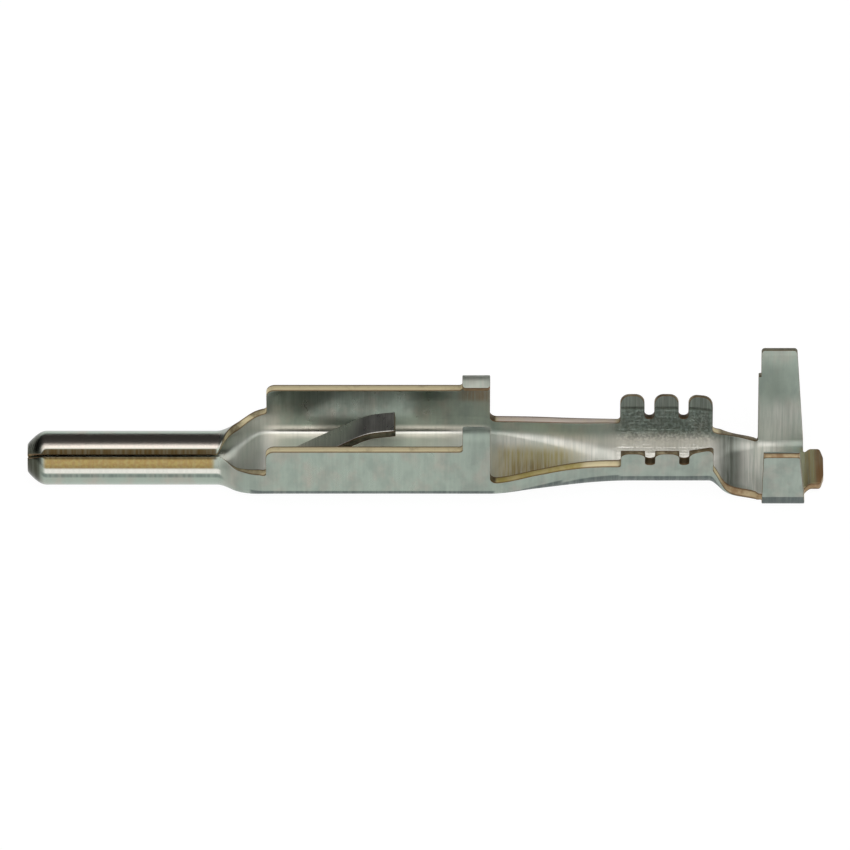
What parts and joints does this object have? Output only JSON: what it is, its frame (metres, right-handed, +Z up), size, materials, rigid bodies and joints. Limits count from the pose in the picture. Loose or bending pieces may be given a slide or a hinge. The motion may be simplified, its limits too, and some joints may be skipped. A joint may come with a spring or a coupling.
{
  "type": "crimp pin contact",
  "caption": "Stamped and folded sheet-metal pin contact: a rolled round pin, an open box channel with a sprung lance, and open wire and insulation crimp barrels.",
  "frame": {"origin": "centre of the bounding box at its underside, on the middle plane of the contact", "axes": "+X along the contact from the tip of the pin to the tail, +Z up out of the open side of the channel and barrels, +Y to the side of the wing with a step"},
  "size_m": [0.0236, 0.0044, 0.0033],
  "materials": {
    "tinned_brass": "pre-tinned brass strip, satin tin on both faces and bare brass on the sheared edges"
  },
  "bodies": {
    "root": {"crimp_pin_contact": "tinned_brass"}
  },
  "joints": []
}
